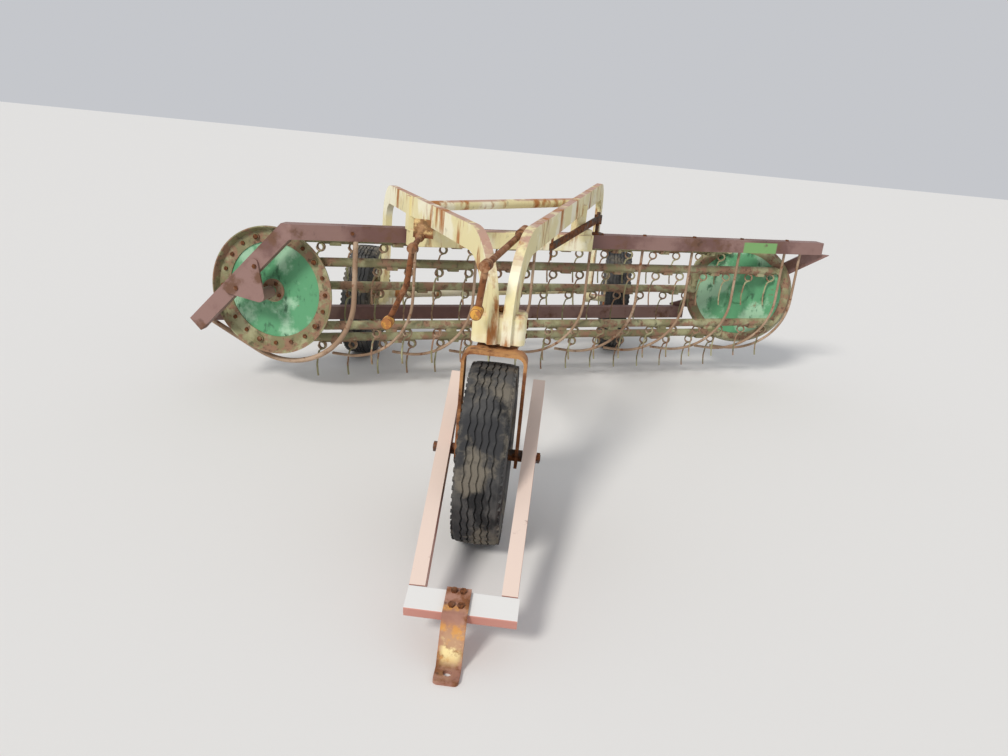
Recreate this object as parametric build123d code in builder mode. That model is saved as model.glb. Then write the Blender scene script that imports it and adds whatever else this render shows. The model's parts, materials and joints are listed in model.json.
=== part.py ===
from build123d import *
import os
from math import cos, sin, tan, atan2, degrees, radians, sqrt

os.makedirs("parts", exist_ok=True)

# Ground wheels
tyre_diameter = 690.0
front_tyre_width = 180.0
rear_tyre_width = 165.0
rim_diameter = 376.0
axle_diameter = 25.0
spindle_diameter = 30.0

# Front fork and tongue
front_wheel_y = 855.0
fork_width = 240.0
fork_strap = 12.0
fork_leg_depth = 75.0
fork_corner = 40.0
crown_gap = 48.0
kingpin_diameter = 28.0
kingpin_nut = 38.0
kingpin_setback = 95.0
tongue_arm_spread = 325.0
left_arm_toe = 2.6
right_arm_toe = -0.6
arm_boss_proud = 1.5
tongue_arm_width = 50.0
tongue_arm_height = 76.0
tongue_front_y = 190.0
crossbar_length = 344.0
crossbar_shift = 15.0
crossbar_depth = 89.0
crossbar_thickness = 38.0
strap_width = 76.2
strap_thickness = 12.7
hitch_hole_diameter = 27.0

# Main frame
arch_width = 36.0
arch_depth = 100.0
arch_top_height = 1110.0
left_arch_rise = -50.0
right_arch_rise = 20.0
left_arch_turn = 23.3
right_arch_turn = -8.4
left_arch_reach = 2010.0
right_arch_reach = 2640.0
rear_bend = 150.0
leg_bottom = 420.0
post_spread = 76.0
housing_height = 110.0
beam_size = 76.0
crossbeam_height = 90.0
crossbeam_gap = 96.0
left_axle_trail = 259.0
right_axle_trail = 271.0
left_axle_overhang = 170.0
right_axle_overhang = 201.0

# Basket and reel
disc_turn = 8.0
basket_turn = 25.0
reel_beside_leg = 453.0
reel_before_leg = 619.0
reel_height = 564.0
reel_length = 2960.0
disc_radius = 341.0
plate_radius = 270.0
ring_inner_radius = 256.0
ring_flat_radius = 318.0
lip_depth = 35.0
plate_thickness = 5.0
pivot_radius = 290.0
pivot_pin = 24.0
reel_shaft = 40.0
bar_count = 5
bar_phase = 38.0
bar_diameter = 48.0
tine_pairs = 8
first_rod_run = 60.0
last_rod_space = 148.0
tine_wire = 8.0
tine_ground_gap = 45.0
rod_diameter = 16.0
rod_gap = 35.0
hoop_diameter = 27.0
lower_beam_width = 50.0
hanger_diameter = 20.0
lift_high = 45.0
hanger_foot = 10.0

# Clearances
pin_clearance = 0.08
soft_gap = 0.3
run_gap = 1.0

# Derived places
wheel_radius = tyre_diameter / 2
axle_height = wheel_radius
crown_bottom = tyre_diameter + crown_gap
crown_top = crown_bottom + fork_strap
washer_top = crown_top + 14.7
housing_bottom = washer_top + soft_gap
housing_top = housing_bottom + housing_height
kingpin_y = front_wheel_y + kingpin_setback
front_bend = (arch_top_height - housing_bottom) * 0.78
bar_slant = radians(basket_turn + disc_turn)
across = Vector(cos(radians(disc_turn)), -sin(radians(disc_turn)), 0)
spin = Vector(sin(radians(disc_turn)), cos(radians(disc_turn)), 0)
along = Vector(cos(radians(basket_turn)), sin(radians(basket_turn)), 0)
behind = Vector(-sin(radians(basket_turn)), cos(radians(basket_turn)), 0)
up = Vector(0, 0, 1)
tine_pitch = (reel_length - first_rod_run - last_rod_space) / tine_pairs
rod_radius = disc_radius + rod_gap
rod_shift = -20.0
beam_side = rod_radius + rod_shift
beam_rise = disc_radius + 5.0
beam_underside = beam_rise - beam_size / 2
lower_slant_half = lower_beam_width / 2 / sin(bar_slant)
lower_side = -(pivot_radius + bar_diameter / 2 / sin(bar_slant) + 60.0 + lower_slant_half)
lower_rise = -187.0
tine_drop = reel_height - pivot_radius - tine_ground_gap
arm_depth = -140.0
arm_thickness = 50.0
rear_arm_depth = 63.0
rear_arm_thickness = 26.0
left_post = (-post_spread / 2, front_wheel_y + 60.0)
right_post = (post_spread / 2, front_wheel_y + 62.0)


def arch_axis_point(start, turn, reach, height):
    """Point on an arch, reach along its heading."""
    heading = radians(turn)
    return Vector(start[0] - reach * sin(heading), start[1] + reach * cos(heading), height)


left_leg = arch_axis_point(left_post, left_arch_turn, left_arch_reach, leg_bottom)
right_leg = arch_axis_point(right_post, right_arch_turn, right_arch_reach, leg_bottom)
reel_origin = Vector(left_leg.X - reel_beside_leg, left_leg.Y - reel_before_leg, reel_height)


def reel_point(run, side, rise, depth=0.0):
    """Point in the basket: run along the beams, side and rise in the disc plane."""
    return reel_origin + along * run + across * side + up * rise + spin * depth


def disc_plane(run, depth=0.0):
    """Plane parallel to the discs, x across, y up, facing the front."""
    return Plane(origin=reel_point(run, 0, 0, depth), x_dir=across, z_dir=spin * -1)


def beam_plane(run, side, rise):
    """Plane square to the long beams, x backward, y up."""
    return Plane(origin=reel_point(run, side, rise), x_dir=behind, z_dir=along)


def save(name, shape):
    """Label one piece and write it out."""
    shape.label = name
    export_step(shape, "parts/" + name + ".step")


# Tyres and rims
def make_tyre(centre, width):
    """Ring with flat sides, round shoulders and a crowned tread."""
    bead = width * 0.36
    seat = rim_diameter / 2 + soft_gap
    middle = (seat + wheel_radius) / 2
    section = Plane(origin=centre, x_dir=(1, 0, 0), z_dir=(0, -1, 0))
    with BuildPart() as tyre:
        with BuildSketch(section):
            with BuildLine():
                Polyline((-bead, seat + 18), (-bead, seat), (bead, seat), (bead, seat + 18))
                ThreePointArc(
                    (bead, seat + 18),
                    (width / 2, middle),
                    (width * 0.455, wheel_radius - 17),
                )
                Line((width * 0.455, wheel_radius - 17), (width * 0.40, wheel_radius - 4))
                ThreePointArc(
                    (width * 0.40, wheel_radius - 4),
                    (0, wheel_radius),
                    (-width * 0.40, wheel_radius - 4),
                )
                Line((-width * 0.40, wheel_radius - 4), (-width * 0.455, wheel_radius - 17))
                ThreePointArc(
                    (-width * 0.455, wheel_radius - 17),
                    (-width / 2, middle),
                    (-bead, seat + 18),
                )
            make_face()
        revolve(axis=Axis(centre, (1, 0, 0)))
    return tyre.part


def make_rim(centre, width, hub_half, bore, face_side):
    """Barrel with flanges, dished web and a bored hub; face_side is the outer side."""
    bead = width * 0.36
    barrel = rim_diameter / 2
    hub = 42.0
    web = face_side * bead * 0.45
    section = Plane(origin=centre, x_dir=(1, 0, 0), z_dir=(0, -1, 0))
    with BuildPart() as rim:
        with BuildSketch(section):
            with BuildLine():
                Polyline(
                    (-bead - 8, barrel + 16),
                    (-bead - soft_gap, barrel + 16),
                    (-bead - soft_gap, barrel),
                    (bead + soft_gap, barrel),
                    (bead + soft_gap, barrel + 16),
                    (bead + 8, barrel + 16),
                    (bead + 8, barrel - 8),
                    (-bead - 8, barrel - 8),
                    close=True,
                )
            make_face()
            with BuildLine():
                Polyline(
                    (web - 4, barrel - 6),
                    (web + 4, barrel - 6),
                    (web * 0.3 + 4, hub - 2),
                    (web * 0.3 - 4, hub - 2),
                    close=True,
                )
            make_face()
            with Locations((0, (bore + hub) / 2)):
                Rectangle(2 * hub_half, hub - bore)
        revolve(axis=Axis(centre, (1, 0, 0)))
    return rim.part


left_wheel_x = left_leg.X - left_axle_overhang
right_wheel_x = right_leg.X + right_axle_overhang
left_wheel_y = left_leg.Y + left_axle_trail
right_wheel_y = right_leg.Y + right_axle_trail

# side is the outer side of each wheel, half is the half length of its hub
wheel_columns = ("name", "x", "y", "width", "bore", "half", "side")
wheel_rows = (
    ("front", 0.0, front_wheel_y, front_tyre_width, axle_diameter, 60.0, 1),
    ("left", left_wheel_x, left_wheel_y, rear_tyre_width, spindle_diameter, 52.0, -1),
    ("right", right_wheel_x, right_wheel_y, rear_tyre_width, spindle_diameter, 52.0, 1),
)
for row in wheel_rows:
    wheel = dict(zip(wheel_columns, row))
    hub_centre = Vector(wheel["x"], wheel["y"], axle_height)
    bore_radius = wheel["bore"] / 2 + pin_clearance
    save("tyre_" + wheel["name"], make_tyre(hub_centre, wheel["width"]))
    rim_part = make_rim(hub_centre, wheel["width"], wheel["half"], bore_radius, wheel["side"])
    save("rim_" + wheel["name"], rim_part)

# Front axle with spacers and end nuts
fork_inner = fork_width / 2 - fork_strap
arm_inner = tongue_arm_spread / 2 - tongue_arm_width / 2 - arm_boss_proud
arm_outer = arm_inner + tongue_arm_width + 2 * arm_boss_proud
axle_columns = ("start", "end", "radius")
axle_rows = (
    (-arm_outer - 16, arm_outer + 16, axle_diameter / 2),
    (60.0 + run_gap, fork_inner, 22.0),
    (-fork_inner, -60.0 - run_gap, 22.0),
    (fork_width / 2, arm_inner - run_gap, 22.0),
    (-arm_inner + run_gap, -fork_width / 2, 22.0),
    (arm_outer + run_gap, arm_outer + 14, 20.0),
    (-arm_outer - 14, -arm_outer - run_gap, 20.0),
)
with BuildPart() as front_axle:
    for row in axle_rows:
        step = dict(zip(axle_columns, row))
        axle_plane = Plane(origin=(step["start"], front_wheel_y, axle_height), z_dir=(1, 0, 0))
        with BuildSketch(axle_plane):
            Circle(step["radius"])
        extrude(amount=step["end"] - step["start"])
save("front_axle", front_axle.part)

# Fork strap with crown and kingpin
crown_back = kingpin_y + 50.0
crown_front = front_wheel_y - fork_leg_depth / 2
leg_end = axle_height - fork_leg_depth / 2
fork_front = Plane(origin=(0, crown_front, 0), x_dir=(1, 0, 0), z_dir=(0, -1, 0))
with BuildPart() as fork_yoke:
    with BuildSketch(fork_front):
        with Locations((0, (crown_top + leg_end) / 2)):
            Rectangle(fork_width, crown_top - leg_end)
        with Locations((0, (crown_bottom + leg_end) / 2)):
            Rectangle(fork_width - 2 * fork_strap, crown_bottom - leg_end, mode=Mode.SUBTRACT)
    extrude(amount=-fork_leg_depth)
    long_corners = fork_yoke.edges().filter_by(Axis.Y).group_by(Axis.Z)[-1]
    fillet(long_corners, fork_corner)
    inner_corners = fork_yoke.edges().filter_by(Axis.Y).filter_by_position(
        Axis.Z, crown_bottom - 1, crown_bottom + 1
    )
    fillet(inner_corners, fork_corner - fork_strap)
    with BuildSketch(Plane.XY.offset(crown_bottom)):
        with Locations((0, (crown_front + crown_back) / 2)):
            RectangleRounded(150, crown_back - crown_front, 30)
    extrude(amount=fork_strap)
    with BuildSketch(Plane.XY.offset(crown_top)):
        with Locations((0, kingpin_y)):
            Circle(40)
    extrude(amount=washer_top - crown_top)
    with BuildSketch(Plane.XY.offset(crown_top)):
        with Locations((0, kingpin_y)):
            Circle(kingpin_diameter / 2)
    extrude(amount=housing_top + 16 - crown_top)
    with BuildSketch(Plane.XY.offset(housing_top + run_gap)):
        with Locations((0, kingpin_y)):
            Circle(kingpin_nut / 2)
    extrude(amount=12)
    with BuildSketch(Plane(origin=(-fork_width, front_wheel_y, axle_height), z_dir=(1, 0, 0))):
        Circle(axle_diameter / 2)
    extrude(amount=2 * fork_width, mode=Mode.SUBTRACT)
save("fork_yoke", fork_yoke.part)

# Tongue arms, crossbar and hitch strap
tongue_run = front_wheel_y - tongue_front_y
tongue_front_z = crossbar_depth / 2 * 0.3 + 128.0
tongue_slope = atan2(axle_height - tongue_front_z, tongue_run)
slope_dir = Vector(0, cos(tongue_slope), sin(tongue_slope))
arm_back = 455.0
arm_ahead = tongue_run / cos(tongue_slope)
bar_normal = Vector(0, -sin(tongue_slope), cos(tongue_slope))
bar_lift = (tongue_arm_height - crossbar_thickness) / 2 - 2
bar_centre = Vector(0, front_wheel_y, axle_height) + slope_dir * (-arm_ahead - crossbar_depth / 2)
bar_centre = bar_centre + bar_normal * bar_lift
with BuildPart() as tongue_crossbar:
    with BuildSketch(Plane(origin=bar_centre, x_dir=(1, 0, 0), z_dir=slope_dir)):
        with Locations((crossbar_shift, 0)):
            Rectangle(crossbar_length, crossbar_thickness)
    extrude(amount=crossbar_depth / 2, both=True)
    fillet(tongue_crossbar.edges().filter_by(Axis.X), 4)
save("tongue_crossbar", tongue_crossbar.part)

arm_columns = ("name", "side", "toe")
arm_rows = (
    ("tongue_arm_left", -1, left_arm_toe),
    ("tongue_arm_right", 1, right_arm_toe),
)
for row in arm_rows:
    arm = dict(zip(arm_columns, row))
    arm_dir = slope_dir.rotate(Axis.Z, arm["toe"])
    arm_across = Vector(1, 0, 0).rotate(Axis.Z, arm["toe"])
    arm_origin = Vector(arm["side"] * tongue_arm_spread / 2, front_wheel_y, axle_height)
    arm_start = arm_origin + arm_dir * (-arm_ahead)
    with BuildPart() as tongue_arm:
        with BuildSketch(Plane(origin=arm_start, x_dir=arm_across, z_dir=arm_dir)):
            Rectangle(tongue_arm_width, tongue_arm_height)
            Rectangle(tongue_arm_width - 8, tongue_arm_height - 8, mode=Mode.SUBTRACT)
        extrude(amount=arm_ahead + arm_back)
        side_plane = Plane(origin=arm_origin, x_dir=(0, 1, 0), z_dir=(1, 0, 0))
        with BuildSketch(side_plane):
            Circle(22)
        extrude(amount=tongue_arm_width / 2 + arm_boss_proud, both=True)
        with BuildSketch(side_plane):
            Circle(axle_diameter / 2 + pin_clearance)
        extrude(amount=tongue_arm_width, both=True, mode=Mode.SUBTRACT)
        with BuildSketch(Plane(origin=arm_start, x_dir=arm_dir, z_dir=arm_across)):
            Polygon(
                (-1, -tongue_arm_height / 2 - 1),
                (-1, tongue_arm_height / 2 - crossbar_thickness - 4),
                (60, -tongue_arm_height / 2 - 1),
                align=None,
            )
        extrude(amount=tongue_arm_width, both=True, mode=Mode.SUBTRACT)
        add(tongue_crossbar.part, mode=Mode.SUBTRACT)
    save(arm["name"], tongue_arm.part)

strap_back = bar_centre + bar_normal * (crossbar_thickness / 2) + slope_dir * (crossbar_depth / 2)
strap_fore = bar_centre + bar_normal * (crossbar_thickness / 2) + slope_dir * (-crossbar_depth / 2 - 6)
strap_foot_y = strap_fore.Y - (strap_fore.Z - strap_thickness) * 0.42
with BuildPart() as hitch_strap:
    with BuildSketch(Plane.YZ):
        with BuildLine():
            Polyline(
                (strap_back.Y, strap_back.Z),
                (strap_fore.Y, strap_fore.Z),
                (strap_foot_y, 0.0),
                (-40.0, 0.0),
            )
            offset(amount=strap_thickness, side=Side.RIGHT, closed=True)
        make_face()
    extrude(amount=strap_width / 2, both=True)
    fillet(hitch_strap.edges().filter_by(Axis.Z), 14)
    with BuildSketch(Plane.XY):
        Circle(hitch_hole_diameter / 2)
    extrude(amount=strap_thickness * 3, mode=Mode.SUBTRACT)
save("hitch_strap", hitch_strap.part)

# Arches
arch_columns = ("name", "post", "turn", "reach", "rear_rise")
arch_rows = (
    ("left", left_post, left_arch_turn, left_arch_reach, left_arch_rise),
    ("right", right_post, right_arch_turn, right_arch_reach, right_arch_rise),
)
arches = {}
for row in arch_rows:
    arch = dict(zip(arch_columns, row))
    start = Vector(arch["post"][0], arch["post"][1], 0)
    heading = radians(arch["turn"])
    ahead = Vector(-sin(heading), cos(heading), 0)
    profile_plane = Plane(origin=start, x_dir=ahead, z_dir=ahead.cross(up))
    reach = arch["reach"]
    rear_height = arch_top_height + arch["rear_rise"]
    half = arch_depth / 2
    tilt = arch["rear_rise"] / reach * half
    with BuildPart() as arch_tube:
        with BuildSketch(profile_plane):
            with BuildLine():
                Polyline(
                    (-half, housing_bottom),
                    (-half, arch_top_height + half),
                    (reach + half, rear_height + half),
                    (reach + half, leg_bottom),
                    (reach - half, leg_bottom),
                    (reach - half, rear_height - half - tilt),
                    (half, arch_top_height - half + tilt),
                    (half, housing_bottom),
                    close=True,
                )
            make_face()
        extrude(amount=arch_width / 2, both=True)
        bends = arch_tube.edges().filter_by(Axis(start, ahead.cross(up)))
        bends = bends.filter_by_position(Axis.Z, arch_top_height - 200, arch_top_height + 180)
        bend_row = bends.sort_by(Axis(start, ahead))
        fillet(bend_row[0], front_bend + half)
        fillet(bend_row[1], front_bend - half)
        fillet(bend_row[2], rear_bend - half)
        fillet(bend_row[3], rear_bend + half)
    arches[arch["name"]] = arch_tube.part
    save("arch_" + arch["name"], arch_tube.part)

# Kingpin housing
with BuildPart() as kingpin_housing:
    with BuildSketch(Plane.XY.offset(housing_bottom)):
        with Locations((0, kingpin_y)):
            RectangleRounded(200, 128, 28)
    extrude(amount=housing_height)
    chamfer(kingpin_housing.faces().sort_by(Axis.Z)[-1].edges(), 10)
    with BuildSketch(Plane.XY.offset(housing_bottom)):
        with Locations((0, kingpin_y)):
            Circle(kingpin_diameter / 2 + pin_clearance)
    extrude(amount=housing_height, mode=Mode.SUBTRACT)
    add(arches["left"], mode=Mode.SUBTRACT)
    add(arches["right"], mode=Mode.SUBTRACT)
save("kingpin_housing", kingpin_housing.part.solids().sort_by(SortBy.VOLUME)[-1])

# Crossbeam hung under the arches
crossbeam_rise = beam_rise + 5.0
crossbeam_side = beam_side
crossbeam_top = reel_height + crossbeam_rise + crossbeam_height / 2
beam_top = reel_height + beam_rise + beam_size / 2
lifted_top = beam_top + lift_high + hanger_foot + 5.0
beam_line = reel_point(0, beam_side, -reel_height)
cross_line = beam_line + behind * -crossbeam_gap


def crossing(post, turn, line_point):
    """Run along the beams where the vertical plane of an arch meets a beam line."""
    heading = radians(turn)
    side_dir = Vector(cos(heading), sin(heading), 0)
    offset_to_line = Vector(post[0], post[1], 0) - line_point
    return offset_to_line.dot(side_dir) / along.dot(side_dir)


left_cross = crossing(left_post, left_arch_turn, cross_line)
right_cross = crossing(right_post, right_arch_turn, cross_line)
left_hanger = crossing(left_post, left_arch_turn, beam_line) + 88.0
right_hanger = crossing(right_post, right_arch_turn, beam_line) + 104.0
hanger_points = (
    ("left", beam_line + along * left_hanger),
    ("right", beam_line + along * right_hanger),
)

# Lift lever with its plate, from beside the right arch to the right hanger
lever_end = Vector(hanger_points[1][1].X, hanger_points[1][1].Y, lifted_top + 26)
lever_start = lever_end + Vector(-246, -618, -89)
lever_dir = (lever_end - lever_start).normalized()
lever_side = lever_dir.cross(up).normalized()
with BuildPart() as lift_arm:
    with BuildSketch(Plane(origin=lever_start, x_dir=lever_side, z_dir=lever_dir)):
        Rectangle(14, 36)
    extrude(amount=(lever_end - lever_start).length)
    with BuildSketch(Plane.XY.offset(lifted_top)):
        with Locations((lever_end.X, lever_end.Y)):
            Circle(hanger_diameter / 2 + 12)
    extrude(amount=50)
    with BuildSketch(Plane.XY.offset(lever_start.Z - 58)):
        with Locations((lever_start.X + 6, lever_start.Y)):
            Rectangle(12, 90)
    extrude(amount=arch_top_height + 15 - lever_start.Z + 58)
    with BuildSketch(Plane.XY.offset(arch_top_height - 20)):
        with Locations((lever_start.X + 32, lever_start.Y)):
            Rectangle(46, 50)
    extrude(amount=40)
    with BuildSketch(Plane.XY.offset(lifted_top)):
        with Locations((lever_end.X, lever_end.Y)):
            Circle(hanger_diameter / 2 + pin_clearance)
    extrude(amount=60, mode=Mode.SUBTRACT)
    add(arches["right"], mode=Mode.SUBTRACT)
save("lift_arm", lift_arm.part.solids().sort_by(SortBy.VOLUME)[-1])

with BuildPart() as frame_crossbeam:
    beam_start = cross_line + along * (left_cross - arch_width / 2) + up * (crossbeam_top - crossbeam_height / 2)
    with BuildSketch(Plane(origin=beam_start, x_dir=behind, z_dir=along)):
        Rectangle(beam_size, crossbeam_height)
    extrude(amount=right_cross + 84 - left_cross + arch_width / 2)
    fillet(frame_crossbeam.edges().filter_by(Axis((0, 0, 0), along)), 6)
    for run in (left_cross, right_cross):
        foot = cross_line + along * run + up * (crossbeam_top - 8)
        with BuildSketch(Plane(origin=foot, x_dir=along, z_dir=up)):
            Rectangle(arch_width + 20, beam_size - 12)
        extrude(amount=arch_top_height + 20 - crossbeam_top)
    rest = cross_line + along * (right_cross + 54) + up * (crossbeam_top - 8)
    with BuildSketch(Plane(origin=rest, x_dir=along, z_dir=up)):
        Rectangle(46, 50)
    extrude(amount=36)
    riser = cross_line + along * left_hanger + up * (crossbeam_top - 8)
    with BuildSketch(Plane(origin=riser, x_dir=along, z_dir=up)):
        Rectangle(40, 44)
    extrude(amount=lifted_top + 30 - crossbeam_top + 8)
    shelf = cross_line + along * left_hanger + behind * (crossbeam_gap / 2) + up * lifted_top
    with BuildSketch(Plane(origin=shelf, x_dir=along, z_dir=up)):
        Rectangle(30, crossbeam_gap)
    extrude(amount=30)
    sleeve = hanger_points[0][1] + up * lifted_top
    with BuildSketch(Plane(origin=sleeve, x_dir=along, z_dir=up)):
        Circle(hanger_diameter / 2 + 12)
    extrude(amount=50)
    with BuildSketch(Plane(origin=sleeve, x_dir=along, z_dir=up)):
        Circle(hanger_diameter / 2 + pin_clearance)
    extrude(amount=60, mode=Mode.SUBTRACT)
    add(arches["left"], mode=Mode.SUBTRACT)
    add(arches["right"], mode=Mode.SUBTRACT)
    add(lift_arm.part, mode=Mode.SUBTRACT)
save("frame_crossbeam", frame_crossbeam.part.solids().sort_by(SortBy.VOLUME)[-1])

# Round brace and rear cross tube
tube_columns = ("name", "left_reach", "right_reach", "height", "radius")
tubes = {}
tube_rows = (
    ("frame_brace", left_arch_reach * 0.536, right_arch_reach * 0.733, arch_top_height, 24.0),
    ("rear_cross_tube", left_arch_reach, right_arch_reach, leg_bottom + 40, 30.0),
)
for row in tube_rows:
    tube = dict(zip(tube_columns, row))
    tube_left = arch_axis_point(left_post, left_arch_turn, tube["left_reach"], tube["height"])
    tube_right = arch_axis_point(right_post, right_arch_turn, tube["right_reach"], tube["height"])
    with BuildPart() as cross_tube:
        with BuildSketch(Plane(origin=tube_left, z_dir=tube_right - tube_left)):
            Circle(tube["radius"])
        extrude(amount=(tube_right - tube_left).length)
        add(arches["left"], mode=Mode.SUBTRACT)
        add(arches["right"], mode=Mode.SUBTRACT)
    tubes[tube["name"]] = cross_tube.part.solids().sort_by(SortBy.VOLUME)[-1]
    save(tube["name"], tubes[tube["name"]])

# Rear axle brackets with spindles
bracket_columns = ("name", "leg", "x", "y", "side")
bracket_rows = (
    ("left", left_leg, left_wheel_x, left_wheel_y, -1),
    ("right", right_leg, right_wheel_x, right_wheel_y, 1),
)
for row in bracket_rows:
    bracket = dict(zip(bracket_columns, row))
    leg = bracket["leg"]
    side = bracket["side"]
    plate_face = Plane(origin=(leg.X, 0, 0), x_dir=(0, 1, 0), z_dir=(1, 0, 0))
    hub_end = side * (bracket["x"] - leg.X) - 52.0 - run_gap
    spindle_plane = Plane(origin=(leg.X, bracket["y"], axle_height), z_dir=(side, 0, 0))
    with BuildPart() as axle_bracket:
        with BuildSketch(plate_face):
            with Locations((bracket["y"], axle_height)):
                Circle(40)
            with Locations((leg.Y, leg_bottom)):
                Circle(46)
            make_hull()
        extrude(amount=20, both=True)
        with BuildSketch(spindle_plane):
            Circle(24)
        extrude(amount=hub_end)
        with BuildSketch(spindle_plane):
            Circle(spindle_diameter / 2)
        extrude(amount=hub_end + 2 * 52.0 + 2 * run_gap + 14)
        with BuildSketch(spindle_plane.offset(hub_end + 2 * 52.0 + 2 * run_gap)):
            Circle(22)
        extrude(amount=12)
        for neighbour in (arches["left"], arches["right"], tubes["rear_cross_tube"]):
            add(neighbour, mode=Mode.SUBTRACT)
    save("axle_bracket_" + bracket["name"], axle_bracket.part.solids().sort_by(SortBy.VOLUME)[-1])

# Cranks: shaft, sleeve, arm and grip between pairs of points
crank_columns = ("start", "end", "radius")
crank_tables = (
    (
        "left",
        left_leg,
        (
            ((378, -971, -120), (418, -1421, -106), 12.5),
            ((374, -971, -122), (382, -1061, -119), 22.0),
            ((418, -1399, -106), (418, -1439, -106), 21.0),
            ((418, -1421, -106), (406, -1436, -254), 12.5),
            ((406, -1436, -242), (406, -1436, -266), 12.5),
            ((406, -1436, -254), (340, -1461, -418), 12.5),
            ((340, -1443, -418), (340, -1501, -421), 24.0),
        ),
        (392, -1026, 92, 12, -125, -40),
    ),
    (
        "right",
        Vector(*right_post, 0),
        (
            ((7, 399, 17), (-93, -137, -40), 12.5),
            ((7, 399, 17), (-8, 319, 8.5), 22.0),
            ((-89, -115, -38), (-97, -155, -42), 21.0),
            ((-93, -137, -40), (-110, -127, -205), 12.5),
            ((-110, -109, -205), (-112, -169, -209), 21.0),
        ),
        (29, 358, 64, 50, -16, 2),
    ),
)
for crank_name, anchor, rods, lug in crank_tables:
    crank_origin = Vector(anchor.X, anchor.Y, arch_top_height)
    with BuildPart() as crank:
        for row in rods:
            rod = dict(zip(crank_columns, row))
            rod_start = crank_origin + Vector(*rod["start"])
            rod_end = crank_origin + Vector(*rod["end"])
            with BuildSketch(Plane(origin=rod_start, z_dir=rod_end - rod_start)):
                Circle(rod["radius"])
            extrude(amount=(rod_end - rod_start).length)
        with BuildSketch(Plane(origin=crank_origin + up * lug[4], z_dir=up)):
            with Locations((lug[0], lug[1])):
                Rectangle(lug[2], lug[3])
        extrude(amount=lug[5] - lug[4])
        add(arches[crank_name], mode=Mode.SUBTRACT)
    save("crank_" + crank_name, crank.part.solids().sort_by(SortBy.VOLUME)[-1])


def ribbon(points, width):
    """Closed outline of even width along a line of points."""
    left = []
    right = []
    for index, point in enumerate(points):
        before = points[max(index - 1, 0)]
        after = points[min(index + 1, len(points) - 1)]
        run_x = after[0] - before[0]
        run_y = after[1] - before[1]
        length = sqrt(run_x * run_x + run_y * run_y)
        off_x = -run_y / length * width / 2
        off_y = run_x / length * width / 2
        left.append((point[0] + off_x, point[1] + off_y))
        right.append((point[0] - off_x, point[1] - off_y))
    return left + right[::-1]


# Top beam bent into the front arm
bend_run = arm_depth / sin(bar_slant)
bend_side = beam_side + bend_run * cos(bar_slant)
arm_foot = (lower_side + 69.0, lower_rise - 17.0)
arm_fall = Vector(arm_foot[0] - bend_side, arm_foot[1] - beam_rise, 0).normalized()
arm_half = 42.5
arm_edge = (bend_side + arm_fall.Y * arm_half, beam_rise - arm_fall.X * arm_half)
mitre_reach = (beam_size / 2 + arm_fall.X * arm_half) / arm_fall.Y
arm_outline = [
    (arm_edge[0] + arm_fall.X * mitre_reach, beam_rise + beam_size / 2),
    (arm_foot[0] + arm_fall.Y * arm_half, arm_foot[1] - arm_fall.X * arm_half),
    (arm_foot[0] - arm_fall.Y * arm_half, arm_foot[1] + arm_fall.X * arm_half),
    (2 * bend_side - arm_edge[0] - arm_fall.X * mitre_reach, beam_rise - beam_size / 2),
]
edge_normal = across * arm_fall.Y + up * -arm_fall.X
beam_end_run = reel_length + rear_arm_depth / sin(bar_slant)
with BuildPart() as top_beam:
    with BuildSketch(beam_plane(bend_run - 130, beam_side, beam_rise)):
        Rectangle(beam_size, beam_size)
    extrude(amount=beam_end_run - bend_run + 130)
    split(bisect_by=disc_plane(0, arm_depth - arm_thickness / 2), keep=Keep.BOTTOM)
    edge_origin = reel_point(0, arm_edge[0], arm_edge[1], arm_depth)
    split(bisect_by=Plane(origin=edge_origin, z_dir=edge_normal), keep=Keep.BOTTOM)
    with BuildSketch(disc_plane(0, arm_depth)):
        Polygon(*arm_outline, align=None)
    extrude(amount=arm_thickness / 2, both=True)
save("top_beam", top_beam.part)

# Front hub bracket and bearing
arm_near = Vector(-bend_side, -beam_rise, 0).dot(arm_fall)
wing_mid = (bend_side + arm_fall.X * arm_near, beam_rise + arm_fall.Y * arm_near)
bracket_face = arm_depth + arm_thickness / 2
arm_front = arm_depth - arm_thickness / 2
with BuildPart() as hub_bracket:
    with BuildSketch(disc_plane(0, arm_front)):
        Circle(32)
        with Locations(
            (wing_mid[0] - arm_fall.X * 105, wing_mid[1] - arm_fall.Y * 105),
            (wing_mid[0] + arm_fall.X * 105, wing_mid[1] + arm_fall.Y * 105),
        ):
            Circle(22)
        make_hull()
    extrude(amount=12)
    with BuildSketch(disc_plane(0, arm_front)):
        Circle(32)
    extrude(amount=arm_front + 55)
    with BuildSketch(disc_plane(0, -143)):
        Circle(reel_shaft / 2 + pin_clearance)
    extrude(amount=-100, mode=Mode.SUBTRACT)
    add(top_beam.part, mode=Mode.SUBTRACT)
save("hub_bracket", hub_bracket.part.solids().sort_by(SortBy.VOLUME)[-1])

# Lower beam with its stub
with BuildPart() as lower_beam:
    with BuildSketch(beam_plane(50, lower_side, lower_rise)):
        Rectangle(lower_beam_width, beam_size)
    extrude(amount=beam_end_run - 50)
    stub_side = lower_side + 50 * cos(bar_slant)
    with BuildSketch(disc_plane(0, bracket_face)):
        with Locations((stub_side + 30, lower_rise + 15)):
            Rectangle(44, 50)
    extrude(amount=bracket_face - 60)
save("lower_beam", lower_beam.part)

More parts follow.
